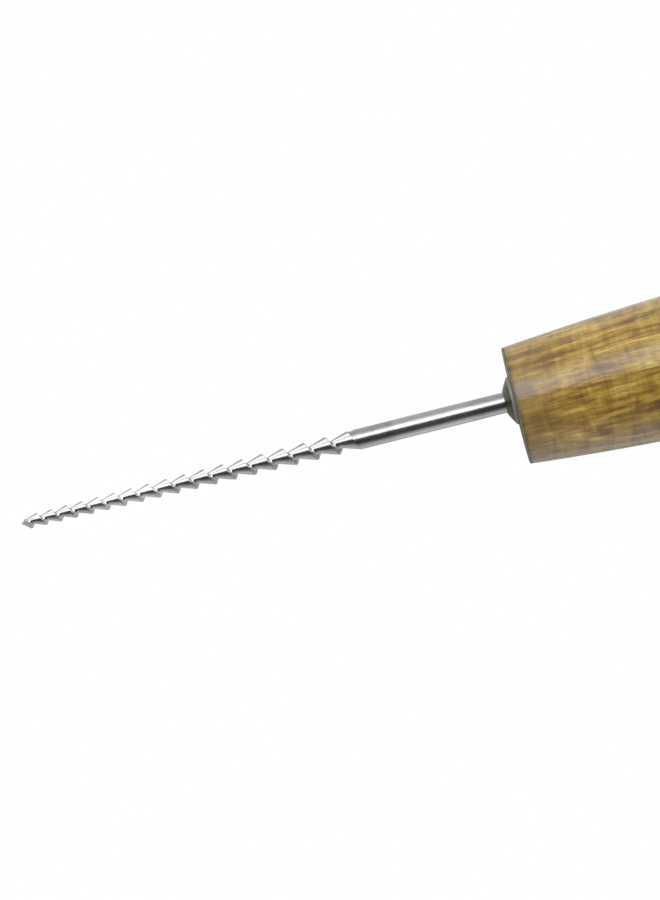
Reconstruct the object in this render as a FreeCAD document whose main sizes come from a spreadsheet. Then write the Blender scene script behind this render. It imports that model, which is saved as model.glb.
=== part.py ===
import FreeCAD
import Part
import math
import os

import Sketcher

# A bookbinding awl with a spiral-toothed blade, lying level on a table, in millimetres.
# +X runs from the point of the blade to the butt of the handle, +Y is the side to which the blade
# is off centre, +Z is up. x = 0 is the middle of the whole length and z = 0 is the table.
SIZES = [
    # handle
    ("handle_length", 88.0),
    ("front_radius", 7.1),
    ("front_round", 0.15),
    ("belly_radius", 9.0),
    ("belly_start", 40.0),
    ("belly_end", 56.0),
    ("butt_depth", 6.0),
    ("butt_radius", 7.9),
    ("butt_blend", 5.0),
    # blade
    ("blade_reach", 60.4),
    ("blade_offset", 0.71),
    ("shank_radius", 1.25),
    ("tang_radius", 1.20),
    ("tang_taper", 0.70),
    ("tang_depth", 32.0),
    ("tang_chamfer", 0.4),
    ("point_flat_radius", 0.04),
    ("point_half_angle", 40.0),
    ("shoulder_radius", 0.82),
    # teeth: one right-hand spiral groove whose pitch grows towards the shank
    ("tooth_turns", 18),
    ("first_crest", 1.964),
    ("first_pitch", 1.786),
    ("pitch_growth", 0.0571),
    ("root_radius_front", 0.44),
    ("root_radius_back", 0.60),
    ("step_run", 0.27),
    ("root_run", 0.33),
    ("crest_land", 0.08),
    ("runout_turns", 0.65),
    ("runout_length", 0.70),
    # collar and glue
    ("collar_length", 1.15),
    ("collar_rim", 0.35),
    ("collar_radius", 2.90),
    ("collar_nose_wall", 0.10),
    ("collar_bulge", 0.03),
    ("glue_gap", 0.15),
    ("glue_end_gap", 0.50),
    ("drill_angle", 118.0),
]

doc = FreeCAD.newDocument("BookbindingAwl")
sheet = doc.addObject("Spreadsheet::Sheet", "Sizes")
for row, (name, value) in enumerate(SIZES, start=1):
    sheet.set(f"A{row}", name)
    sheet.set(f"B{row}", str(value))
    sheet.setAlias(f"B{row}", name)
doc.recompute()

# Places along the awl and sizes that fit each other, as expressions on the sheet.
TIP_X = "-(Sizes.blade_reach + Sizes.handle_length) / 2"
FACE_X = "(Sizes.blade_reach - Sizes.handle_length) / 2"
COLLAR_X = f"{FACE_X} - Sizes.collar_length"
AXIS_Z = "Sizes.belly_radius"
BUTT_X = "(Sizes.handle_length - Sizes.butt_depth)"
BORE_RADIUS = "(Sizes.tang_radius + Sizes.glue_gap)"
BORE_DEPTH = "(Sizes.tang_depth + Sizes.glue_end_gap)"
POINT_LENGTH = (
    "((Sizes.shoulder_radius - Sizes.point_flat_radius)"
    " / tan(Sizes.point_half_angle * 1 deg))"
)
TEETH_END = (
    "(Sizes.first_crest + Sizes.first_pitch * (Sizes.tooth_turns - 1)"
    " + Sizes.pitch_growth / 2 * (Sizes.tooth_turns - 1) * (Sizes.tooth_turns - 2)"
    " + Sizes.runout_length)"
)


def size(name):
    return float(getattr(sheet, name))


def evaluate(expression):
    """The number that an expression on the sheet gives, for the first drawing of a sketch."""
    value = sheet.evalExpression(expression)
    return float(getattr(value, "Value", value))


def crown_radius(run, drop):
    """The radius of an arc that leaves a tangent line and drops by drop over run."""
    return f"(({run})^2 + ({drop})^2) / (2 * ({drop}))"


def new_body(label):
    body = doc.addObject("PartDesign::Body", label.title().replace("_", ""))
    body.Label = label
    return body


def new_sketch(body, role, name):
    sketch = body.newObject("Sketcher::SketchObject", name)
    plane = next(item for item in body.Origin.OriginFeatures if item.Role == role)
    sketch.AttachmentSupport = [(plane, "")]
    sketch.MapMode = "FlatFace"
    return sketch


def bind(sketch, name, kind, references, expression):
    """Add a dimension to a sketch and bind it to an expression on the sheet."""
    index = sketch.addConstraint(Sketcher.Constraint(kind, *references, evaluate(expression)))
    sketch.renameConstraint(index, name)
    sketch.setExpression(f"Constraints.{name}", expression)


def fix_point(sketch, name, geometry, end, x, y):
    """Bind a point of a sketch to its place along and off the axis. "0" puts it on that axis."""
    for letter, kind, expression, axis in (("x", "DistanceX", x, -2), ("y", "DistanceY", y, -1)):
        if expression == "0":
            sketch.addConstraint(Sketcher.Constraint("PointOnObject", geometry, end, axis))
        else:
            bind(sketch, f"{name}_{letter}", kind, (-1, 1, geometry, end), expression)


def clockwise_arc(start, end, radius):
    chord = end - start
    lift = math.sqrt(radius**2 - chord.Length**2 / 4)
    to_centre = FreeCAD.Vector(chord.y, -chord.x, 0).normalize()
    centre = (start + end) / 2 + to_centre * lift
    first, last = (math.atan2(point.y - centre.y, point.x - centre.x) for point in (end, start))
    if last < first:
        last += 2 * math.pi
    circle = Part.Circle(centre, FreeCAD.Vector(0, 0, 1), radius)
    return Part.ArcOfCircle(circle, first, last)


def draw_outline(sketch, corners):
    """A closed outline through (name, x, y, radius) corners.

    The radius is that of the clockwise arc from this corner to the next, or None for a line.
    """
    points = [FreeCAD.Vector(evaluate(x), evaluate(y), 0) for _, x, y, _ in corners]
    enter, leave = [], []
    for index, (_, _, _, radius) in enumerate(corners):
        ends = points[index], points[(index + 1) % len(points)]
        if radius is None:
            sketch.addGeometry(Part.LineSegment(*ends), False)
        else:
            sketch.addGeometry(clockwise_arc(*ends, evaluate(radius)), False)
        enter.append(1 if radius is None else 2)
        leave.append(2 if radius is None else 1)
    for index in range(len(corners)):
        following = (index + 1) % len(corners)
        joint = Sketcher.Constraint(
            "Coincident", index, leave[index], following, enter[following]
        )
        sketch.addConstraint(joint)
    for index, (name, x, y, radius) in enumerate(corners):
        fix_point(sketch, name, index, enter[index], x, y)
        if radius is not None:
            bind(sketch, f"{name}_radius", "Radius", (index,), radius)


def revolve(body, sketch, name):
    turning = body.newObject("PartDesign::Revolution", name)
    turning.Profile = sketch
    turning.ReferenceAxis = (sketch, ["H_Axis"])
    turning.Angle = 360
    doc.recompute()
    return turning


def round_edge(body, base, name, x, radius, blend):
    """Round the circular edge at x with this radius."""
    wanted = (evaluate(x), evaluate(radius))
    same_place = 1e-4
    for number, edge in enumerate(base.Shape.Edges, start=1):
        curve = edge.Curve
        found = getattr(curve, "Center", None) and (curve.Center.x, curve.Radius)
        if found and math.dist(found, wanted) < same_place:
            break
    else:
        raise ValueError(f"{name} found no edge at {wanted}")
    rounding = body.newObject("PartDesign::Fillet", name)
    rounding.Base = (base, [f"Edge{number}"])
    rounding.setExpression("Radius", blend)
    doc.recompute()
    return rounding


def place(piece, x, y="0"):
    for axis, expression in (("x", x), ("y", y), ("z", AXIS_Z)):
        piece.setExpression(f"Placement.Base.{axis}", expression)


def make_handle():
    """Turned wood with a swelling belly and a domed butt, and an off-centre bore for the tang."""
    body = new_body("handle")
    sketch = new_sketch(body, "XY_Plane", "HandleOutline")
    swell = "Sizes.belly_radius - Sizes.front_radius"
    fall = "Sizes.belly_radius - Sizes.butt_radius"
    belly_radius = "Sizes.belly_radius"
    corners = [
        ("front_centre", "0", "0", None),
        ("front_edge", "0", "Sizes.front_radius", crown_radius("Sizes.belly_start", swell)),
        ("belly_start", "Sizes.belly_start", belly_radius, None),
        ("belly_end", "Sizes.belly_end", belly_radius,
         crown_radius(f"{BUTT_X} - Sizes.belly_end", fall)),
        ("butt_edge", BUTT_X, "Sizes.butt_radius",
         crown_radius("Sizes.butt_radius", "Sizes.butt_depth")),
        ("butt_centre", "Sizes.handle_length", "0", None),
    ]
    draw_outline(sketch, corners)
    turning = revolve(body, sketch, "HandleTurning")
    front = round_edge(body, turning, "FrontRound", "0", "Sizes.front_radius", "Sizes.front_round")
    round_edge(body, front, "ButtBlend", BUTT_X, "Sizes.butt_radius", "Sizes.butt_blend")

    mouth = new_sketch(body, "YZ_Plane", "BoreMouth")
    centre = FreeCAD.Vector(size("blade_offset"), 0, 0)
    mouth.addGeometry(
        Part.Circle(centre, FreeCAD.Vector(0, 0, 1), evaluate(BORE_RADIUS)), False
    )
    fix_point(mouth, "centre", 0, 3, "Sizes.blade_offset", "0")
    bind(mouth, "bore_radius", "Radius", (0,), BORE_RADIUS)
    doc.recompute()
    solid_volume = body.Shape.Volume
    bore = body.newObject("PartDesign::Hole", "TangBore")
    bore.Profile = mouth
    doc.recompute()
    bore.Reversed = True
    bore.DepthType = "Dimension"
    bore.DrillPoint = "Angled"
    bore.setExpression("Diameter", f"2 * {BORE_RADIUS}")
    bore.setExpression("Depth", BORE_DEPTH)
    bore.setExpression("DrillPointAngle", "Sizes.drill_angle")
    doc.recompute()
    bored = solid_volume - body.Shape.Volume
    least_bored = 0.99 * math.pi * evaluate(BORE_RADIUS) ** 2 * evaluate(BORE_DEPTH)
    if bored < least_bored:
        raise ValueError(f"the tang bore cut only {bored} mm3")
    place(body, FACE_X)
    return body


def crest_x(turn):
    """How far from the point the crest is after this many turns, with the pitch growing."""
    return (
        size("first_crest")
        + size("first_pitch") * (turn - 1)
        + size("pitch_growth") / 2 * (turn - 1) * (turn - 2)
    )


def blank_radius(x):
    """The radius of the ground blank at x from the point, before the groove is cut."""
    shoulder, teeth_end = evaluate(POINT_LENGTH), evaluate(TEETH_END)
    share = min(1.0, (x - shoulder) / (teeth_end - shoulder))
    return size("shoulder_radius") + share * (size("shank_radius") - size("shoulder_radius"))


def groove_corners(turn):
    """The four corners (x, radius) of the groove at this turn: step, root, flank and back."""
    lip = 0.02  # how far the cutter stands out of the blank
    least_share = 0.02  # keeps the flank from closing up where the groove has run out
    crest = crest_x(turn)
    next_crest = crest_x(turn + 1) - size("crest_land")
    gone = (turn - size("tooth_turns") + 0.5) / size("runout_turns")
    gone = min(1.0, max(0.0, gone))
    depth_share = 1 - gone * gone * (3 - 2 * gone)
    along = max(0.0, turn / size("tooth_turns"))
    root = (
        size("root_radius_front")
        + (size("root_radius_back") - size("root_radius_front")) * along**2
    )
    foot = crest + size("step_run")
    root_end = foot + size("root_run")
    edge = blank_radius(foot) + lip / 2
    root = edge - depth_share * (edge - root)
    flank_end = root_end + (next_crest - root_end) * max(depth_share, least_share)
    return [
        (crest, blank_radius(crest) + lip),
        (foot, root),
        (root_end, root),
        (flank_end, blank_radius(flank_end) + lip),
    ]


def make_groove_cutter():
    """The space that the grinding wheel takes out, as one solid for each turn round the blank.

    The pitch, depth and taper all change along the blade, so the four sides are ruled between
    curves through the corners of the groove.
    """
    steps_per_turn = 16
    first_turn = -0.75  # far enough ahead of the first crest to start off the point
    last_turn = size("tooth_turns") - 0.5 + size("runout_turns")
    steps = math.ceil((last_turn - first_turn) * steps_per_turn)
    turns = [first_turn + (last_turn - first_turn) * step / steps for step in range(steps + 1)]
    rings = []
    for turn in turns:
        angle = 2 * math.pi * turn
        rings.append([
            FreeCAD.Vector(x, radius * math.cos(angle), radius * math.sin(angle))
            for x, radius in groove_corners(turn)
        ])
    curves = []
    for points in zip(*rings):
        curve = Part.BSplineCurve()
        curve.interpolate(Points=list(points), Parameters=turns)
        curves.append(curve)

    count = math.ceil(last_turn - first_turn)
    ends = [first_turn + (last_turn - first_turn) * index / count for index in range(count + 1)]
    solids = []
    for start, end in zip(ends, ends[1:]):
        edges = []
        for curve in curves:
            stretch = curve.copy()
            stretch.segment(start, end)
            edges.append(stretch.toShape())
        faces = []
        for edge, next_edge in zip(edges, edges[1:] + edges[:1]):
            faces += Part.makeRuledSurface(edge, next_edge).Faces
        for turn in (start, end):
            corners = [curve.value(turn) for curve in curves]
            faces.append(Part.Face(Part.makePolygon(corners + corners[:1])))
        shell = Part.Shell(faces)
        shell.sewShape()
        solid = Part.Solid(shell)
        if solid.Volume < 0:
            solid.reverse()
        solids.append(solid)

    cutter = doc.addObject("Part::Feature", "GrooveCutter")
    cutter.Label = "groove_cutter"
    cutter.Shape = Part.makeCompound(solids)
    place(cutter, TIP_X, "Sizes.blade_offset")
    return cutter


def make_blade():
    """One steel rod: cone point, tapering stretch with a spiral saw tooth, plain shank and tang.

    A short taper leads from the shank down to the thinner tang, and the collar seats on it.
    """
    blank = new_body("blade_blank")
    sketch = new_sketch(blank, "XY_Plane", "BladeOutline")
    shank_end = "Sizes.blade_reach - Sizes.collar_length"
    tang_end = "Sizes.blade_reach + Sizes.tang_depth"
    corners = [
        ("tip_centre", "0", "0", None),
        ("tip_flat", "0", "Sizes.point_flat_radius", None),
        ("shoulder", POINT_LENGTH, "Sizes.shoulder_radius", None),
        ("teeth_end", TEETH_END, "Sizes.shank_radius", None),
        ("shank_end", shank_end, "Sizes.shank_radius", None),
        ("tang_start", f"{shank_end} + Sizes.tang_taper", "Sizes.tang_radius", None),
        ("tang_side", f"{tang_end} - Sizes.tang_chamfer", "Sizes.tang_radius", None),
        ("tang_end", tang_end, "Sizes.tang_radius - Sizes.tang_chamfer", None),
        ("tang_centre", tang_end, "0", None),
    ]
    draw_outline(sketch, corners)
    revolve(blank, sketch, "BladeTurning")
    place(blank, TIP_X, "Sizes.blade_offset")
    cutter = make_groove_cutter()
    blade = doc.addObject("Part::Cut", "Blade")
    blade.Label = "blade"
    blade.Base = blank
    blade.Tool = cutter
    doc.recompute()
    ground = blank.Shape.Volume - blade.Shape.Volume
    least_ground = 0.8 * cutter.Shape.Volume
    if ground < least_ground:
        raise ValueError(f"the groove took only {ground} mm3 from the blade")
    return blade


def make_collar():
    """A small dark metal cone with a rim, held between the blade's taper and the handle."""
    body = new_body("collar")
    sketch = new_sketch(body, "XY_Plane", "CollarOutline")
    nose = "(Sizes.shank_radius + Sizes.collar_nose_wall)"
    rim_x = "(Sizes.collar_length - Sizes.collar_rim)"
    half_chord = f"(sqrt({rim_x}^2 + (Sizes.collar_radius - {nose})^2) / 2)"
    corners = [
        ("nose_inner", "0", "Sizes.shank_radius", None),
        ("nose_outer", "0", nose, crown_radius(half_chord, "Sizes.collar_bulge")),
        ("rim_front", rim_x, "Sizes.collar_radius", None),
        ("rim_back", "Sizes.collar_length", "Sizes.collar_radius", None),
        ("seat_inner", "Sizes.collar_length", "Sizes.tang_radius", None),
        ("taper_end", "Sizes.tang_taper", "Sizes.tang_radius", None),
    ]
    draw_outline(sketch, corners)
    revolve(body, sketch, "CollarTurning")
    place(body, COLLAR_X, "Sizes.blade_offset")
    return body


def make_tang_adhesive():
    """The glue that fills the bore round the tang and behind its end."""
    body = new_body("tang_adhesive")
    sketch = new_sketch(body, "XY_Plane", "GlueOutline")
    drill_tip = f"{BORE_DEPTH} + {BORE_RADIUS} / tan(Sizes.drill_angle / 2 * 1 deg)"
    corners = [
        ("mouth_inner", "0", "Sizes.tang_radius", None),
        ("mouth_outer", "0", BORE_RADIUS, None),
        ("bore_end", BORE_DEPTH, BORE_RADIUS, None),
        ("drill_tip", drill_tip, "0", None),
        ("tang_centre", "Sizes.tang_depth", "0", None),
        ("tang_end", "Sizes.tang_depth", "Sizes.tang_radius - Sizes.tang_chamfer", None),
        ("tang_side", "Sizes.tang_depth - Sizes.tang_chamfer", "Sizes.tang_radius", None),
    ]
    draw_outline(sketch, corners)
    revolve(body, sketch, "GlueTurning")
    place(body, FACE_X, "Sizes.blade_offset")
    return body


pieces = [make_handle(), make_blade(), make_collar(), make_tang_adhesive()]
doc.recompute()

for item in doc.Objects:
    if "Invalid" in item.State or "Error" in item.State:
        raise ValueError(f"{item.Label} failed: {item.State}")
for piece in pieces:
    if piece.Shape.isNull() or not piece.Shape.isValid():
        raise ValueError(f"{piece.Label} has no valid shape")

os.makedirs("parts", exist_ok=True)
for piece in pieces:
    piece.Shape.exportStep(f"parts/{piece.Label}.step")
    box = piece.Shape.BoundBox
    print(
        f"{piece.Label}: {len(piece.Shape.Solids)} solid, {piece.Shape.Volume:.2f} mm3,"
        f" x {box.XMin:.2f} to {box.XMax:.2f}, z {box.ZMin:.2f} to {box.ZMax:.2f}"
    )
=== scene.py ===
import math

import bmesh
import bpy
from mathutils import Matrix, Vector


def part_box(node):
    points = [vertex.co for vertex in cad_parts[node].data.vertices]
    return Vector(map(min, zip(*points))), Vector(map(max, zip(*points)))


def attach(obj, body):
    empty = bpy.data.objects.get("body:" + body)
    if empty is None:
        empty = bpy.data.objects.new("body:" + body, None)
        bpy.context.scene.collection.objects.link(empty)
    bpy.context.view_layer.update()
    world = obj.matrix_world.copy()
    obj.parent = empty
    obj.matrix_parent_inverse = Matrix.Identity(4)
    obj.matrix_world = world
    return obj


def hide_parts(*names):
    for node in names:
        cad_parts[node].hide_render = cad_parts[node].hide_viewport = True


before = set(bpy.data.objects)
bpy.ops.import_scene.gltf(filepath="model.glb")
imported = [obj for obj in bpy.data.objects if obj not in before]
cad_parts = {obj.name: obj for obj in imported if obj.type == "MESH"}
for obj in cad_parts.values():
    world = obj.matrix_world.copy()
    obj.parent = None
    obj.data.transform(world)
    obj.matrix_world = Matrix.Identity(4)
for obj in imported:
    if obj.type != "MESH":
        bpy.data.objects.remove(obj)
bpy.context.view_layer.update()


# The handle is one piece of golden hardwood, turned with a slowly swelling side and a domed butt.
# It is dipped in clear varnish, and its front face is bored off centre for the tang of the blade.

MM = 0.001
handle_low, handle_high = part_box("handle")
handle_length = handle_high.x - handle_low.x
belly_radius = (handle_high.z - handle_low.z) / 2
handle_axis_z = (handle_high.z + handle_low.z) / 2
front_radius = 7.1 * MM
front_round = 0.15 * MM
belly_start, belly_end = 40 * MM, 56 * MM
butt_depth, butt_radius, butt_blend = 6 * MM, 7.9 * MM, 5 * MM
blade_offset = 0.71 * MM
# the bore's wall stands a little outside the glue that fills it
bore_radius, bore_depth = 1.4 * MM, 32.5 * MM
drill_half_angle = 59


def arc_through(run, drop):
    """The radius of an arc that starts level and drops this much over this run."""
    return (run**2 + drop**2) / (2 * drop)


def handle_outline():
    """Places (x behind the front face, radius) along the turned side, from front to butt."""
    swell = arc_through(belly_start, belly_radius - front_radius)
    butt_start = handle_length - butt_depth
    fall = arc_through(butt_start - belly_end, belly_radius - butt_radius)
    dome = arc_through(butt_radius, butt_depth)
    fall_centre = Vector((belly_end, belly_radius - fall))
    dome_centre = Vector((handle_length - dome, 0))

    # the rounding's centre is this far from the centres of the two arcs that it joins
    from_fall, from_dome = fall - butt_blend, dome - butt_blend
    apart = dome_centre - fall_centre
    along = (from_fall**2 - from_dome**2 + apart.length**2) / (2 * apart.length)
    off = math.sqrt(from_fall**2 - along**2)
    ahead = apart.normalized()
    blend_centre = fall_centre + ahead * along + Vector((-ahead.y, ahead.x)) * off

    def heading(centre, place):
        return math.atan2(place.y - centre.y, place.x - centre.x)

    def sweep(centre, radius, first, last, steps):
        angles = [first + (last - first) * step / steps for step in range(1, steps + 1)]
        return [
            (centre.x + radius * math.cos(angle), centre.y + radius * math.sin(angle))
            for angle in angles
        ]

    places = []
    round_steps = 4
    for step in range(round_steps + 1):
        angle = math.pi / 2 * step / round_steps
        x = front_round * (1 - math.cos(angle))
        places.append((x, front_radius - front_round * (1 - math.sin(angle))))
    swell_centre = Vector((belly_start, belly_radius - swell))
    from_front = heading(swell_centre, Vector((0, front_radius)))
    past_round = 2 * front_round
    places += [
        place for place in sweep(swell_centre, swell, from_front, math.pi / 2, steps=48)
        if place[0] > past_round
    ]
    into_blend = heading(fall_centre, blend_centre)
    places += sweep(fall_centre, fall, math.pi / 2, into_blend, steps=32)
    into_dome = heading(dome_centre, blend_centre)
    places += sweep(blend_centre, butt_blend, into_blend, into_dome, steps=20)
    places += sweep(dome_centre, dome, into_dome, 0, steps=12)[:-1]
    return places


def ring(mesh, x, y, radius, z, sides):
    """A round of vertices across the awl's length."""
    places = []
    for side in range(sides):
        angle = 2 * math.pi * side / sides
        places.append((x, y + radius * math.cos(angle), z + radius * math.sin(angle)))
    return [mesh.verts.new(place) for place in places]


def skin(mesh, first, second):
    """Faces between two rounds of vertices, or between a round and a single closing vertex."""
    count = len(first)
    for side in range(count):
        after = (side + 1) % count
        if len(second) == 1:
            mesh.faces.new((first[side], first[after], second[0]))
        else:
            mesh.faces.new((first[side], first[after], second[after], second[side]))


def add_object(name, data):
    """A new object with this mesh, light or camera."""
    added = bpy.data.objects.new(name, data)
    bpy.context.collection.objects.link(added)
    return added


def finish_mesh(mesh, name, sharp_degrees):
    """Turn a bmesh into a smooth object with crisp edges, at the origin."""
    bmesh.ops.recalc_face_normals(mesh, faces=mesh.faces)
    data = bpy.data.meshes.new(name)
    mesh.to_mesh(data)
    mesh.free()
    data.shade_smooth()
    data.set_sharp_from_angle(angle=math.radians(sharp_degrees))
    return add_object(name, data)


def turn_handle():
    """The bore from its tip to its mouth, the front face, the turned side and the butt."""
    sides = 128
    mesh = bmesh.new()
    face_x, z = handle_low.x, handle_axis_z
    drill_cone = bore_radius / math.tan(math.radians(drill_half_angle))
    bore_tip = mesh.verts.new((face_x + bore_depth + drill_cone, blade_offset, z))
    bore = [
        ring(mesh, face_x + x, blade_offset, bore_radius, z, sides)
        for x in (bore_depth, bore_depth / 2, 0)
    ]
    face_shares = (0.35, 0.6, 0.8, 0.93)
    face = [(0, share * (front_radius - front_round)) for share in face_shares]
    outer = []
    for x, radius in face + handle_outline():
        # on the face, the rings' centres move from the bore's axis to the handle's
        outward = min(1.0, radius / front_radius) if x == 0 else 1.0
        y = blade_offset * (1 - outward)
        outer.append(ring(mesh, face_x + x, y, radius, z, sides))
    butt = mesh.verts.new((handle_high.x, 0, z))
    skin(mesh, bore[0], [bore_tip])
    whole = bore + outer
    for first, second in zip(whole, whole[1:]):
        skin(mesh, first, second)
    skin(mesh, outer[-1], [butt])
    return finish_mesh(mesh, "turned_handle", sharp_degrees=35)


handle = turn_handle()


def put(tree, kind, sockets=None, **settings):
    """Add a node, set its settings, and give its sockets a value or a link."""
    node = tree.nodes.new(kind)
    for name, value in settings.items():
        setattr(node, name, value)
    for key, value in (sockets or {}).items():
        join(tree, value, node.inputs[key])
    return node


def join(tree, value, socket):
    """Link an output to this socket, or set the socket's own value."""
    if isinstance(value, Number):
        value = value.socket
    if isinstance(value, bpy.types.NodeSocket):
        tree.links.new(value, socket)
    else:
        socket.default_value = value


class Number:
    """A value in a node tree, to be worked with in plain arithmetic."""

    def __init__(self, tree, socket):
        self.tree, self.socket = tree, socket

    def work(self, operation, *values):
        node = self.tree.nodes.new("ShaderNodeMath")
        node.operation = operation
        for value, socket in zip(values, node.inputs):
            join(self.tree, value, socket)
        return Number(self.tree, node.outputs[0])

    def __add__(self, other):
        return self.work("ADD", self, other)

    def __radd__(self, other):
        return self.work("ADD", other, self)

    def __sub__(self, other):
        return self.work("SUBTRACT", self, other)

    def __rsub__(self, other):
        return self.work("SUBTRACT", other, self)

    def __mul__(self, other):
        return self.work("MULTIPLY", self, other)

    def __rmul__(self, other):
        return self.work("MULTIPLY", other, self)

    def __truediv__(self, other):
        return self.work("DIVIDE", self, other)

    def least(self, other):
        return self.work("MINIMUM", self, other)

    def most(self, other):
        return self.work("MAXIMUM", self, other)

    def whole(self):
        return self.work("FLOOR", self)

    def between(self, low, high, start=0.0, end=1.0, smooth=True):
        """This value spread from low..high to start..end, and held there."""
        kind = "SMOOTHSTEP" if smooth else "LINEAR"
        node = put(self.tree, "ShaderNodeMapRange", {0: self, 1: low, 2: high, 3: start, 4: end},
                   interpolation_type=kind)
        return Number(self.tree, node.outputs[0])


def empty_tree(owner):
    """The cleared node tree of a material or world."""
    owner.use_nodes = True
    owner.node_tree.nodes.clear()
    return owner.node_tree


def new_material(name):
    """An empty material with one Principled shader in it."""
    material = bpy.data.materials.new(name)
    tree = empty_tree(material)
    shader = put(tree, "ShaderNodeBsdfPrincipled")
    out = put(tree, "ShaderNodeOutputMaterial")
    tree.links.new(shader.outputs[0], out.inputs["Surface"])
    return material, tree, shader


def millimetres(tree, stretch=(1, 1, 1), shift=(0, 0, 0)):
    """The piece's own coordinates in millimetres, moved and then stretched."""
    own = put(tree, "ShaderNodeTexCoord").outputs["Object"]
    moved = put(tree, "ShaderNodeVectorMath", {0: own, 1: [1000] * 3, 2: shift},
                operation="MULTIPLY_ADD").outputs[0]
    return put(tree, "ShaderNodeVectorMath", {0: moved, 1: stretch},
               operation="MULTIPLY").outputs[0]


def noise(tree, vector, scale, detail=3.0, roughness=0.55, distortion=0.0):
    """Soft random patches from 0 to 1, mostly near the middle."""
    node = put(tree, "ShaderNodeTexNoise", {
        "Vector": vector, "Scale": scale, "Detail": detail, "Roughness": roughness,
        "Distortion": distortion})
    return Number(tree, node.outputs["Fac"])


def blend(tree, share, first, second, kind="MIX"):
    """Mix two colours."""
    node = put(tree, "ShaderNodeMix", {"Factor": share}, data_type="RGBA", blend_type=kind)
    join(tree, first, node.inputs[6])
    join(tree, second, node.inputs[7])
    return node.outputs[2]


def ramp(tree, value, stops):
    """The colour at this value, along stops of (place, colour)."""
    node = put(tree, "ShaderNodeValToRGB", {"Fac": value})
    elements = node.color_ramp.elements
    while len(elements) < len(stops):
        elements.new(0.5)
    for element, (place, colour) in zip(elements, stops):
        element.position = place
        element.color = (*colour, 1)
    return node.outputs["Color"]


def handling_marks():
    """Faint smudges and hairlines that every handled surface here has, as a shader group."""
    group = bpy.data.node_groups.new("handling_marks", "ShaderNodeTree")
    for name, default in (("Smudge Scale", 0.5), ("Hairline Scale", 8.0), ("Along", 0.1)):
        socket = group.interface.new_socket(name, in_out="INPUT", socket_type="NodeSocketFloat")
        socket.default_value = default
    for name in ("Smudges", "Hairlines"):
        group.interface.new_socket(name, in_out="OUTPUT", socket_type="NodeSocketFloat")
    given = put(group, "NodeGroupInput").outputs
    stretch = put(group, "ShaderNodeCombineXYZ", {0: given["Along"], 1: 1.0, 2: 1.0}).outputs[0]
    smudges = noise(group, millimetres(group, shift=(2, 5, 1)), given["Smudge Scale"], 3)
    hairlines = noise(group, millimetres(group, stretch), given["Hairline Scale"], 3, 0.6)
    put(group, "NodeGroupOutput", {0: smudges, 1: hairlines})
    return group


marks_group = handling_marks()


def marks(tree, smudge_scale, hairline_scale, along):
    """Place the shared marks in a material and give their smudges and hairlines."""
    node = put(tree, "ShaderNodeGroup", node_tree=marks_group)
    for name, value in (
            ("Smudge Scale", smudge_scale), ("Hairline Scale", hairline_scale), ("Along", along)):
        node.inputs[name].default_value = value
    return Number(tree, node.outputs["Smudges"]), Number(tree, node.outputs["Hairlines"])


wood_tones = [
    (0.14, (0.075, 0.038, 0.012)), (0.34, (0.150, 0.084, 0.020)), (0.50, (0.255, 0.150, 0.030)),
    (0.66, (0.345, 0.222, 0.050)), (0.86, (0.500, 0.360, 0.130))]
# dark end grain tones, also used as painted shade on the handle's front face and edge
end_grain_and_shade_tones = [(0.36, (0.020, 0.017, 0.010)), (0.62, (0.085, 0.070, 0.038))]
pore_brown = (0.085, 0.048, 0.017, 1)
olive_tint = (0.50, 0.60, 0.40, 1)
handled_brown = (0.165, 0.104, 0.054, 1)
pith_y, pith_z = -16.0, 27.0


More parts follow.
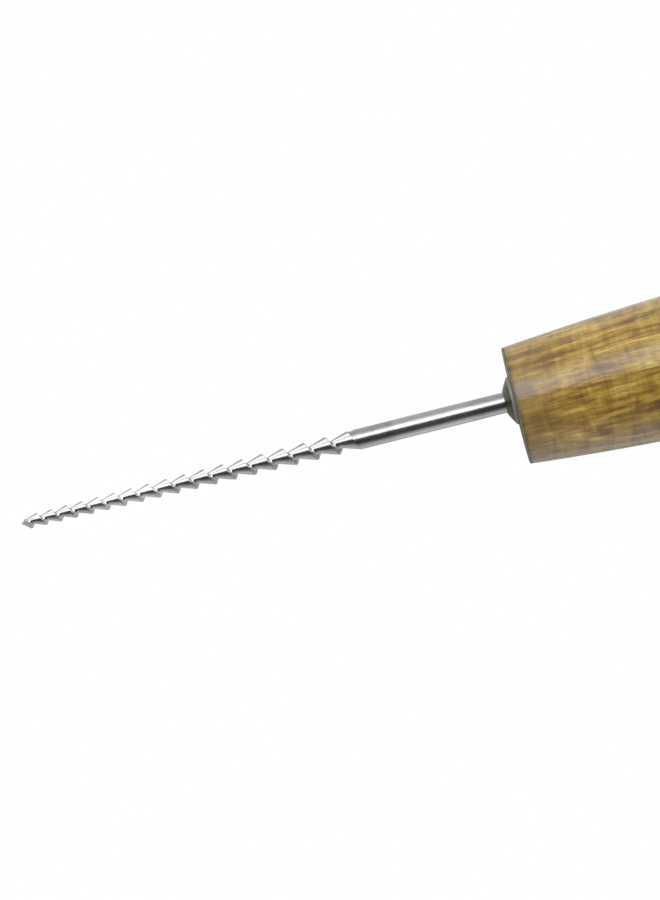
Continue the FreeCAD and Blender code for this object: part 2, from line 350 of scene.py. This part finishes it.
def varnished_wood():
    """Rings round a pith outside the handle, streaks along it, ripples across it, and pores."""
    material, tree, shader = new_material("varnished_hardwood")
    own = put(tree, "ShaderNodeSeparateXYZ", {0: millimetres(tree)})
    x, y, z = (Number(tree, socket) for socket in own.outputs)
    wander = noise(tree, millimetres(tree, (0.5, 1, 1)), 0.12, 2) - 0.5
    across = put(tree, "ShaderNodeCombineXYZ", {
        0: y - pith_y + wander * 5, 1: z - pith_z + wander * 4}).outputs[0]
    from_pith = put(tree, "ShaderNodeVectorMath", {0: across}, operation="LENGTH")
    rings = put(tree, "ShaderNodeTexNoise", {
        "W": from_pith.outputs["Value"], "Scale": 1.1, "Detail": 3.0, "Roughness": 0.6},
        noise_dimensions="1D")
    rings = Number(tree, rings.outputs["Fac"])
    streaks = noise(tree, millimetres(tree, (0.07, 1, 1)), 1.6, 4, 0.6)
    fibres = noise(tree, millimetres(tree, (0.07, 1, 1), (7, 3, 1)), 6.0, 2, 0.6)
    figure = noise(tree, millimetres(tree, (1, 0.24, 0.24)), 0.78, 3, 0.5, 0.8)
    pores = noise(tree, millimetres(tree, (0.09, 1, 1), (4, 8, 6)), 3.6, 1, 0.5)
    rays = noise(tree, millimetres(tree, (1, 0.26, 0.26), (3, 9, 4)), 1.7, 2, 0.5, 0.3)
    mottle = noise(tree, millimetres(tree, (0.6, 1, 1), (5, 2, 8)), 0.42, 3, 0.6)
    smudges, hairlines = marks(tree, 0.35, 11.0, 0.05)

    middle = 0.5
    tone = middle
    for pattern, strength in (
            (rings, 0.70), (streaks, 0.82), (fibres, 0.28), (figure, 0.60), (rays, 0.12),
            (mottle, 0.64)):
        tone = (pattern - middle) * strength + tone
    colour = ramp(tree, tone, wood_tones)
    flecks = pores.between(0.40, 0.30, 0, 0.45)
    colour = blend(tree, flecks, colour, pore_brown)
    olive = smudges.between(0.46, 0.60, 0, 0.25)
    colour = blend(tree, olive, colour, olive_tint, "OVERLAY")

    # the front is darker from handling, and its face and edge show dark end grain with painted
    # shade on them
    behind_face = x - handle_low.x / MM
    ragged = behind_face + (streaks - middle) * 2.0 + (mottle - middle) * 3.0
    dark_front = ragged.between(8.0, -1.0, 0, 0.62)
    # painted shade as well as dark end grain: the face and the first half millimetre behind it are
    # darkened
    end_grain_shade_mask = (behind_face + (rays - middle) * 0.3).between(0.50, 0.15, 0, 0.70)
    colour = blend(tree, dark_front, colour, handled_brown)
    end_grain_and_shade = ramp(tree, rings * 0.7 + streaks * 0.3, end_grain_and_shade_tones)
    colour = blend(tree, end_grain_shade_mask, colour, end_grain_and_shade)
    tree.links.new(colour, shader.inputs["Base Color"])

    roughness = 0.05 + hairlines * 0.09 + (rays - middle) * 0.08 + smudges * 0.07
    join(tree, roughness + end_grain_shade_mask * 0.5, shader.inputs["Roughness"])
    height = fibres * 0.5 + streaks * 0.5 + rays * 0.6 + figure * 0.7 + mottle * 0.5
    bump = put(tree, "ShaderNodeBump", {"Height": height, "Strength": 0.5, "Distance": 0.00006})
    tree.links.new(bump.outputs[0], shader.inputs["Normal"])
    shader.inputs["IOR"].default_value = 1.56
    shader.inputs["Specular IOR Level"].default_value = 0.55
    return material


handle.data.materials.append(varnished_wood())
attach(handle, "root")
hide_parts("handle")


# The blade is one bright steel rod, ground to a taper with a single right-hand spiral saw tooth.
# Each turn of the tooth rises slowly towards the handle and steps down behind its crest.

blade_low, blade_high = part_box("blade")
shank_radius = 1.25 * MM
tang_radius, tang_taper = 1.20 * MM, 0.70 * MM
blade_sizes = {
    "Length": blade_high.x - blade_low.x,
    "Point Flat": 0.04 * MM,
    "Point Slope": 0.8391,  # the tangent of the cone's half angle, 40 degrees
    "Shoulder Radius": 0.82 * MM,
    "Shank Radius": shank_radius,
    "Shank End": 59.25 * MM,
    "Tang Taper": tang_taper,
    "Tang Radius": tang_radius,
    "Tooth Turns": 18.0,
    "Start Turn": -2.0,
    "First Crest": 1.964 * MM,
    "First Pitch": 1.786 * MM,
    "Pitch Growth": 0.0571 * MM,
    "Root Radius Front": 0.44 * MM,
    "Root Radius Back": 0.60 * MM,
    "Step Run": 0.27 * MM,
    "Root Run": 0.33 * MM,
    "Crest Land": 0.06 * MM,
    "Runout Turns": 0.65,
    "Runout Length": 0.70 * MM,
    "Plain Stretch": 1.3 * MM,
}
blade_counts = {"Turns Made": 27, "Columns A Strip": 8, "Sides": 96}


def make_blade_tree():
    """The tooth's rule as Geometry Nodes: a sheet of vertices wound round the rod.

    Each turn is four strips: the step down behind a crest, the root, the long flank up to the
    next crest, and that crest's narrow land. The sheet's two long sides lie one turn apart, so
    they meet as it is wound, and are welded. Past the last tooth the turns go on without any
    depth, as the plain shank and tang.
    """
    tree = bpy.data.node_groups.new("spiral_tooth_blade", "GeometryNodeTree")
    for kind, names in (
            ("NodeSocketFloat", blade_sizes), ("NodeSocketInt", blade_counts),
            ("NodeSocketVector", ["Place"]), ("NodeSocketMaterial", ["Material"])):
        for name in names:
            tree.interface.new_socket(name, in_out="INPUT", socket_type=kind)
    tree.interface.new_socket("Geometry", in_out="OUTPUT", socket_type="NodeSocketGeometry")
    source = put(tree, "NodeGroupInput")
    want = {name: Number(tree, source.outputs[name]) for name in (*blade_sizes, *blade_counts)}
    strips_a_turn = 4
    hair = 0.0001  # keeps a whole number from being rounded down

    columns = want["Turns Made"] * want["Columns A Strip"] * strips_a_turn
    grid = put(tree, "GeometryNodeMeshGrid", {
        "Size X": 1.0, "Size Y": 1.0, "Vertices X": columns + 1, "Vertices Y": want["Sides"] + 1})
    flat_place = put(tree, "GeometryNodeInputPosition").outputs[0]
    on_sheet = put(tree, "ShaderNodeSeparateXYZ", {0: flat_place})
    along = Number(tree, on_sheet.outputs[0]) + 0.5
    round_share = Number(tree, on_sheet.outputs[1]) + 0.5
    column = (along * columns).work("ROUND", along * columns)
    strip_number = (column / want["Columns A Strip"] + hair).whole()
    within = (column - strip_number * want["Columns A Strip"]) / want["Columns A Strip"]
    tooth = (strip_number / strips_a_turn + hair).whole()
    strip = strip_number - tooth * strips_a_turn
    turn = want["Start Turn"] + tooth + round_share

    def crest_at(number):
        """How far from the point the crest is after this many turns."""
        earlier = number - 1
        # past the teeth the turns grow quickly, because the plain rod needs few of them
        past_teeth = (number - want["Tooth Turns"] - 1.5).most(0.0)
        return (want["First Crest"] + want["First Pitch"] * earlier
                + want["Pitch Growth"] / 2 * earlier * (number - 2)
                + want["Plain Stretch"] * past_teeth * past_teeth)

    shoulder = (want["Shoulder Radius"] - want["Point Flat"]) / want["Point Slope"]
    teeth_end = crest_at(want["Tooth Turns"]) + want["Runout Length"]

    def blank_radius(x):
        """The rod's radius at x from the point, without its groove."""
        body = x.between(
            shoulder, teeth_end, want["Shoulder Radius"], want["Shank Radius"], smooth=False)
        thinned = x.between(
            want["Shank End"], want["Shank End"] + want["Tang Taper"],
            0.0, want["Shank Radius"] - want["Tang Radius"], smooth=False)
        return body - thinned

    crest, next_crest = crest_at(turn), crest_at(turn + 1)
    # the groove starts to run out half a turn before the last crest
    gone = (turn - want["Tooth Turns"] + 0.5) / want["Runout Turns"]
    depth = 1 - gone.between(0.0, 1.0)
    how_far = (turn / want["Tooth Turns"]).most(0.0)
    root = (want["Root Radius Front"]
            + (want["Root Radius Back"] - want["Root Radius Front"]) * how_far * how_far)
    foot = crest + want["Step Run"]
    edge = blank_radius(foot)
    root = edge - depth * (edge - root)
    root_end = foot + want["Root Run"]
    least_flank = 0.02
    flank_end = (
        root_end + (next_crest - want["Crest Land"] - root_end) * depth.most(least_flank))
    starts = [(crest, blank_radius(crest)), (foot, root), (root_end, root),
              (flank_end, blank_radius(flank_end)), (next_crest, blank_radius(next_crest))]

    def choose(values):
        """The value that belongs to this strip."""
        node = put(tree, "GeometryNodeIndexSwitch", {"Index": strip}, data_type="FLOAT")
        while len(node.index_switch_items) < len(values):
            node.index_switch_items.new()
        for number, value in enumerate(values):
            join(tree, value, node.inputs[1 + number])
        return Number(tree, node.outputs[0])

    x0, r0 = (choose([start[part] for start in starts[:4]]) for part in (0, 1))
    x1, r1 = (choose([start[part] for start in starts[1:]]) for part in (0, 1))
    x = x0 + (x1 - x0) * within
    # the step and root are ground a little hollow, and the flank a little full
    fullness = 4 * within * (1 - within) * depth
    swell = choose([-0.02 * MM, -0.03 * MM, 0.012 * MM, 0.0])
    radius = r0 + (r1 - r0) * within + fullness * swell
    radius = radius.least(want["Point Flat"] + x * want["Point Slope"])
    # what would lie past either end is drawn in to the axis there
    inside = x.work("GREATER_THAN", x, 0.0) * x.work("LESS_THAN", x, want["Length"])
    radius = radius * inside
    x = x.most(0.0).least(want["Length"])
    angle = round_share * (2 * math.pi)
    place = put(tree, "ShaderNodeCombineXYZ", {
        0: x, 1: radius * angle.work("COSINE", angle), 2: radius * angle.work("SINE", angle)})
    wound = put(tree, "GeometryNodeSetPosition", {
        "Geometry": grid.outputs["Mesh"], "Position": place.outputs[0]})
    on_land = strip.work("GREATER_THAN", strip, 2.5) * depth
    worn = put(tree, "GeometryNodeStoreNamedAttribute", {
        "Geometry": wound.outputs[0], "Name": "edge", "Value": on_land},
        data_type="FLOAT", domain="POINT")
    weld_distance = 0.0004 * MM
    merged = put(tree, "GeometryNodeMergeByDistance", {
        "Geometry": worn.outputs[0], "Distance": weld_distance})
    placed = put(tree, "GeometryNodeTransform", {
        "Geometry": merged.outputs[0], "Translation": source.outputs["Place"]})
    outward = put(tree, "GeometryNodeFlipFaces", {"Mesh": placed.outputs[0]})
    fold = Number(tree, put(tree, "GeometryNodeInputMeshEdgeAngle").outputs[0])
    crisp_fold = math.radians(28)
    smooth = put(tree, "GeometryNodeSetShadeSmooth", {
        "Geometry": outward.outputs[0],
        "Shade Smooth": fold.work("LESS_THAN", fold, crisp_fold)}, domain="EDGE")
    real = put(tree, "GeometryNodeRealizeInstances", {"Geometry": smooth.outputs[0]})
    coated = put(tree, "GeometryNodeSetMaterial", {
        "Geometry": real.outputs[0], "Material": source.outputs["Material"]})
    out = put(tree, "NodeGroupOutput")
    tree.links.new(coated.outputs[0], out.inputs[0])
    return tree


steel_tones = [(0.30, (0.405, 0.385, 0.375)), (0.70, (0.515, 0.495, 0.485))]
worn_steel = (0.66, 0.65, 0.64, 1)


def bright_steel():
    """Polished steel with faint lines along it, a little brighter where the crests are worn."""
    material, tree, shader = new_material("polished_steel")
    shader.inputs["Metallic"].default_value = 1.0
    smudges, hairlines = marks(tree, 0.8, 9.0, 0.12)
    edge = Number(tree, put(tree, "ShaderNodeAttribute", attribute_name="edge").outputs["Fac"])
    tone = ramp(tree, smudges * 0.6 + hairlines * 0.4, steel_tones)
    colour = blend(tree, edge * 0.4, tone, worn_steel)
    tree.links.new(colour, shader.inputs["Base Color"])
    join(tree, 0.17 + hairlines * 0.10 + smudges * 0.05, shader.inputs["Roughness"])
    bump = put(tree, "ShaderNodeBump", {
        "Height": hairlines + smudges * 0.4, "Strength": 0.12, "Distance": 0.00001})
    tree.links.new(bump.outputs[0], shader.inputs["Normal"])
    return material


blade_tree = make_blade_tree()
blade_source = add_object("blade_source", bpy.data.meshes.new("blade_source"))
winder = blade_source.modifiers.new("winder", "NODES")
winder.node_group = blade_tree
blade_place = (blade_low.x, blade_offset, handle_axis_z)
blade_inputs = {
    **blade_sizes, **blade_counts, "Place": blade_place, "Material": bright_steel()}
for socket in blade_tree.interface.items_tree:
    if socket.in_out == "INPUT":
        winder[socket.identifier] = blade_inputs[socket.name]
ready = blade_source.evaluated_get(bpy.context.evaluated_depsgraph_get())
blade = add_object("toothed_blade", bpy.data.meshes.new_from_object(ready))
bpy.data.objects.remove(blade_source)
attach(blade, "root")
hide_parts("blade")


# The collar is a small turned cone of dark blued metal; its thin rim is painted a highlight grey.
# It is pushed over the shank against the front of the handle, and hides the mouth of the bore.

collar_low, collar_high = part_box("collar")
collar_radius = (collar_high.z - collar_low.z) / 2
nose_wall = 0.10 * MM
rim_width = 0.35 * MM
rim_round = 0.07 * MM
cone_bulge = 0.03 * MM
nose_ease = 0.03 * MM
rim_step = 0.02 * MM
collar_tones = [(0.32, (0.042, 0.041, 0.023)), (0.68, (0.118, 0.116, 0.078))]
# the rim's lighter grey is a painted highlight
rim_highlight_grey = (0.340, 0.312, 0.300, 1)


def turn_collar():
    """The tapered bore from back to front, the nose, the slightly full cone and the round rim."""
    sides = 96
    mesh = bmesh.new()
    length = collar_high.x - collar_low.x
    rim_x = length - rim_width
    nose = shank_radius + nose_wall
    rim_foot = collar_radius - rim_round
    outline = [
        (length, tang_radius), (tang_taper, tang_radius), (0.0, shank_radius),
        (0.0, nose - nose_ease)]
    run, rise = rim_x, rim_foot - nose
    slant = math.hypot(run, rise)
    cone_steps = 14
    for step in range(cone_steps + 1):
        share = step / cone_steps
        lift = cone_bulge * 4 * share * (1 - share)
        x = run * share - lift * rise / slant
        outline.append((x, nose + rise * share + lift * run / slant))
    outline.append((rim_x + rim_step, rim_foot - rim_step))
    round_steps = 4
    for x, corner in ((rim_x + rim_round, 180), (length - rim_round, 90)):
        for step in range(round_steps + 1):
            angle = math.radians(corner - 90 * step / round_steps)
            outline.append((
                x + rim_round * math.cos(angle), rim_foot + rim_round * math.sin(angle)))
    rounds = [
        ring(mesh, collar_low.x + max(0.0, x), blade_offset, radius, handle_axis_z, sides)
        for x, radius in outline
    ]
    for first, second in zip(rounds, rounds[1:] + rounds[:1]):
        skin(mesh, first, second)
    return finish_mesh(mesh, "collar_ring", sharp_degrees=40)


def dark_metal():
    """Dark metal with turning marks round it; the rim is duller and painted a highlight grey."""
    material, tree, shader = new_material("dark_collar_metal")
    smudges, turning_lines = marks(tree, 1.6, 3.0, 6.0)
    tone = ramp(tree, smudges * 0.7 + turning_lines * 0.3, collar_tones)
    own = put(tree, "ShaderNodeSeparateXYZ", {0: millimetres(tree)})
    x = Number(tree, own.outputs[0])
    rim_start = (collar_high.x - rim_width) / MM
    rim = x.between(rim_start - 0.10, rim_start + 0.05)
    # painted highlight: the rim is coloured a lighter grey
    colour = blend(tree, rim * 0.9, tone, rim_highlight_grey)
    tree.links.new(colour, shader.inputs["Base Color"])
    join(tree, 0.8 - rim * 0.55, shader.inputs["Metallic"])
    join(tree, 0.22 + smudges * 0.16 + rim * 0.20, shader.inputs["Roughness"])
    bump = put(tree, "ShaderNodeBump", {
        "Height": turning_lines + smudges, "Strength": 0.3, "Distance": 0.00003})
    tree.links.new(bump.outputs[0], shader.inputs["Normal"])
    return material


collar = turn_collar()
collar.data.materials.append(dark_metal())
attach(collar, "root")
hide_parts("collar")


# The glue round the tang is clear amber epoxy, poured in before the blade is pushed home.
# It stays as the plain filling of the bore, out of sight behind the collar.

glue_tones = [(0.3, (0.42, 0.30, 0.12)), (0.7, (0.62, 0.50, 0.26))]


def amber_glue():
    """Cloudy amber with small bubbles in it."""
    material, tree, shader = new_material("amber_epoxy")
    cloud = noise(tree, millimetres(tree), 0.9, 3)
    bubbles = noise(tree, millimetres(tree), 6.0, 2)
    tree.links.new(ramp(tree, cloud, glue_tones), shader.inputs["Base Color"])
    join(tree, 0.25 + bubbles * 0.3, shader.inputs["Roughness"])
    bump = put(tree, "ShaderNodeBump", {"Height": bubbles, "Strength": 0.3, "Distance": 0.00003})
    tree.links.new(bump.outputs[0], shader.inputs["Normal"])
    return material


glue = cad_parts["tang_adhesive"]
glue.data.materials.clear()
glue.data.materials.append(amber_glue())


# The awl lies on a plain white table. The camera sees the table as pure white, and the awl sees
# it as grey, with painted light that makes it paler on the -Y side and under the handle.


def flat_sheet(name, corners):
    """A sheet with four corners."""
    data = bpy.data.meshes.new(name)
    data.from_pydata(corners, [], [(0, 1, 2, 3)])
    return add_object(name, data)


def seen_apart(tree, by_the_awl, by_the_camera):
    """One shader for all that the awl reflects or is lit by, and another for the camera."""
    camera_ray = put(tree, "ShaderNodeLightPath").outputs["Is Camera Ray"]
    return put(tree, "ShaderNodeMixShader", {
        0: camera_ray, 1: by_the_awl.outputs[0], 2: by_the_camera.outputs[0]}).outputs[0]


pure_white = (1, 1, 1, 1)
table_reach = 3.0
table = flat_sheet("table", [
    (-table_reach, -table_reach, 0), (table_reach, -table_reach, 0),
    (table_reach, table_reach, 0), (-table_reach, table_reach, 0)])
table_white = bpy.data.materials.new("white_table")
table_tree = empty_tree(table_white)
on_table = put(table_tree, "ShaderNodeSeparateXYZ", {
    0: put(table_tree, "ShaderNodeTexCoord").outputs["Object"]})
# painted light: the grey the awl sees is paler on the -Y side and near the handle
painted_table_light = (Number(table_tree, on_table.outputs[1]).between(0.06, -0.06, 0.44, 0.72)
            + Number(table_tree, on_table.outputs[0]).between(-0.020, 0.005, 0.0, 0.18))
paper = put(table_tree, "ShaderNodeBsdfDiffuse", {"Color": painted_table_light})
table_glow = put(table_tree, "ShaderNodeEmission", {"Color": pure_white, "Strength": 1.0})
put(table_tree, "ShaderNodeOutputMaterial", {
    "Surface": seen_apart(table_tree, paper, table_glow)})
table.data.materials.append(table_white)


# The room round the table has pale walls that fade to a dark ceiling, and one bright wall past
# the handle's butt. The camera sees none of it, only white.

scene = bpy.context.scene
scene.view_settings.view_transform = "Standard"
room = bpy.data.worlds.new("studio")
scene.world = room
room_tree = empty_tree(room)
direction = put(room_tree, "ShaderNodeSeparateXYZ", {
    0: put(room_tree, "ShaderNodeTexCoord").outputs["Generated"]})
walls = (Number(room_tree, direction.outputs[2]).between(0.72, 0.18, 0.04, 0.62)
         + Number(room_tree, direction.outputs[0]).between(0.20, 0.50, 0.0, 0.9))
room_light = put(room_tree, "ShaderNodeBackground", {"Color": pure_white, "Strength": walls})
backdrop = put(room_tree, "ShaderNodeBackground", {"Color": pure_white, "Strength": 1.0})
put(room_tree, "ShaderNodeOutputWorld", {
    "Surface": seen_apart(room_tree, room_light, backdrop)})


# A long soft box hangs on the +Y side, with a dimmer edge below it. A weaker, wider fill also
# lights the wood and the table, but shiny faces don't mirror it.

view_middle = Vector((-0.0365, 0.0003, handle_axis_z))
light_distance = 0.8
light_length = 2.1


def soft_light(name, low_angle, high_angle, brightness, tint=(1, 1, 1)):
    """A long light that fills these degrees from straight up towards +Y, seen from the awl."""
    data = bpy.data.lights.new(name, "AREA")
    data.shape = "RECTANGLE"
    half = math.radians(high_angle - low_angle) / 2
    data.size, data.size_y = light_length, 2 * light_distance * math.tan(half)
    data.energy = brightness * math.pi * data.size * data.size_y
    data.color = tint
    lamp = add_object(name, data)
    angle = math.radians(low_angle + high_angle) / 2
    lamp.location = view_middle + light_distance * Vector((0, math.sin(angle), math.cos(angle)))
    lamp.rotation_euler = (-angle, 0, 0)
    lamp.visible_camera = False
    return lamp


soft_light("softbox", 12, 43, 2.9, (0.97, 1.0, 1.04))
soft_light("softbox_edge", 43, 65, 0.88)
fill = soft_light("overhead_fill", -10, 50, 0.6)
fill.visible_glossy = False


# A small lit card stands on the table beside the teeth and brightens their polished flanks.
# Only reflections show it, and it throws no shadow.

card_y, card_left, card_right, card_top = 0.036, -0.150, -0.045, 0.028
card = flat_sheet("bounce_card", [
    (card_left, card_y, 0), (card_right, card_y, 0),
    (card_right, card_y, card_top), (card_left, card_y, card_top)])
card_white = bpy.data.materials.new("card_white")
card_tree = empty_tree(card_white)
card_glow = put(card_tree, "ShaderNodeEmission", {"Color": pure_white, "Strength": 2.4})
put(card_tree, "ShaderNodeOutputMaterial", {"Surface": card_glow.outputs[0]})
card.data.materials.append(card_white)
card.visible_camera = False
card.visible_diffuse = False
card.visible_shadow = False
card.visible_transmission = False


# The camera looks straight down from a metre above, turned so that the awl lies at a slant.

lens_distance = 1.0
frame_height = 0.1071
awl_slant = 14.09
camera_data = bpy.data.cameras.new("camera")
camera_data.sensor_width = 36.0
camera_data.lens = camera_data.sensor_width * lens_distance / frame_height
camera_data.clip_start, camera_data.clip_end = 0.01, 20.0
camera = add_object("camera", camera_data)
camera.location = view_middle + Vector((0, 0, lens_distance))
camera.rotation_euler = (0, 0, math.radians(-awl_slant))
scene.camera = camera
